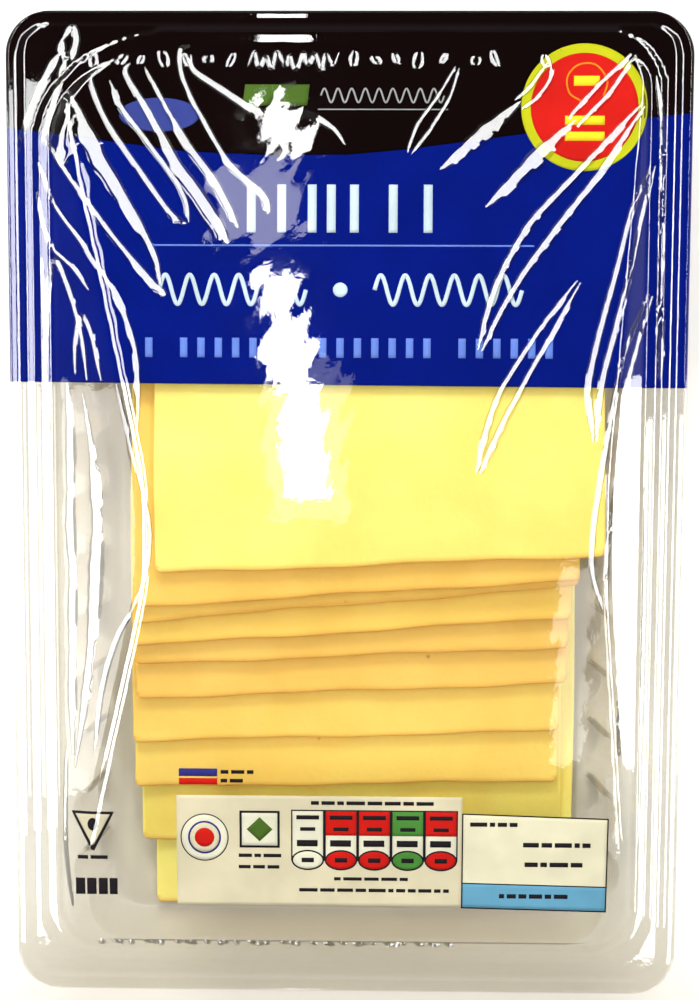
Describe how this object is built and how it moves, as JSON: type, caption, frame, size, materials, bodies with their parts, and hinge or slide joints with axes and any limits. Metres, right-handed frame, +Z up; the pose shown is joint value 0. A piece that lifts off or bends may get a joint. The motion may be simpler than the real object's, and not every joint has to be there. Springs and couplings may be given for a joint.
{
  "type": "pack of sliced cheese",
  "caption": "Clear formed tray with a printed film sealed over its flange, holding a fanned stack of square mild cheese slices.",
  "frame": {"origin": "middle of the pack's outline, on the plane that the tray's floor rests on", "axes": "+Z up out of the film, +Y along the pack towards its printed end, +X to the right"},
  "size_m": [0.14, 0.205, 0.0263],
  "materials": {
    "tray": "clear thermoformed sheet, glossy",
    "film": "thin clear lidding film, very glossy",
    "print_blue": "royal blue ink under gloss film",
    "print_black": "warm black ink under gloss film",
    "print_pale": "pale ink under gloss film",
    "print_bright": "bright inks under gloss film",
    "cheese": "moist, softly glossy cut cheese"
  },
  "bodies": {
    "root": {"tray": "tray", "lid_film": "film", "slice_01": "cheese", "slice_02": "cheese", "slice_03": "cheese", "slice_04": "cheese", "slice_05": "cheese", "slice_06": "cheese", "slice_07": "cheese", "slice_08": "cheese", "slice_09": "cheese", "slice_10": "cheese"}
  },
  "joints": []
}
